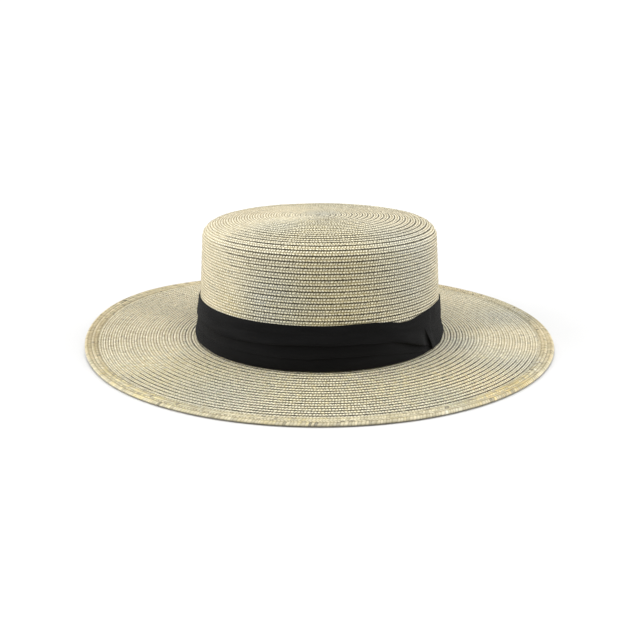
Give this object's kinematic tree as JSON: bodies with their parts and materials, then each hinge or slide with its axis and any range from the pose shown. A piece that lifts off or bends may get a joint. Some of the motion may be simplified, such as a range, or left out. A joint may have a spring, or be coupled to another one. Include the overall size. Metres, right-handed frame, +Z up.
{
  "type": "straw boater",
  "caption": "Wide-brimmed straw boater with a flat tip, tapered crown, folded rim braid and a black pleated cloth band lapped at one side.",
  "frame": {"origin": "centre of the head opening, on the surface that the hat rests on", "axes": "+Z up through the tip, -Y to the front of the hat, +X to the wearer's left"},
  "size_m": [0.352, 0.352, 0.0918],
  "materials": {
    "straw_braid": "sewn paper-straw braid, space-dyed cream, ochre and grey, matte",
    "straw_edge": "folded paper-straw braid, smoother than the brim, matte",
    "band_cloth": "black plain-woven cloth in soft pleats, dull sheen"
  },
  "bodies": {
    "root": {"crown": "straw_braid", "brim": "straw_braid", "brim_edge": "straw_edge", "hat_band": "band_cloth", "band_lap": "band_cloth"}
  },
  "joints": []
}
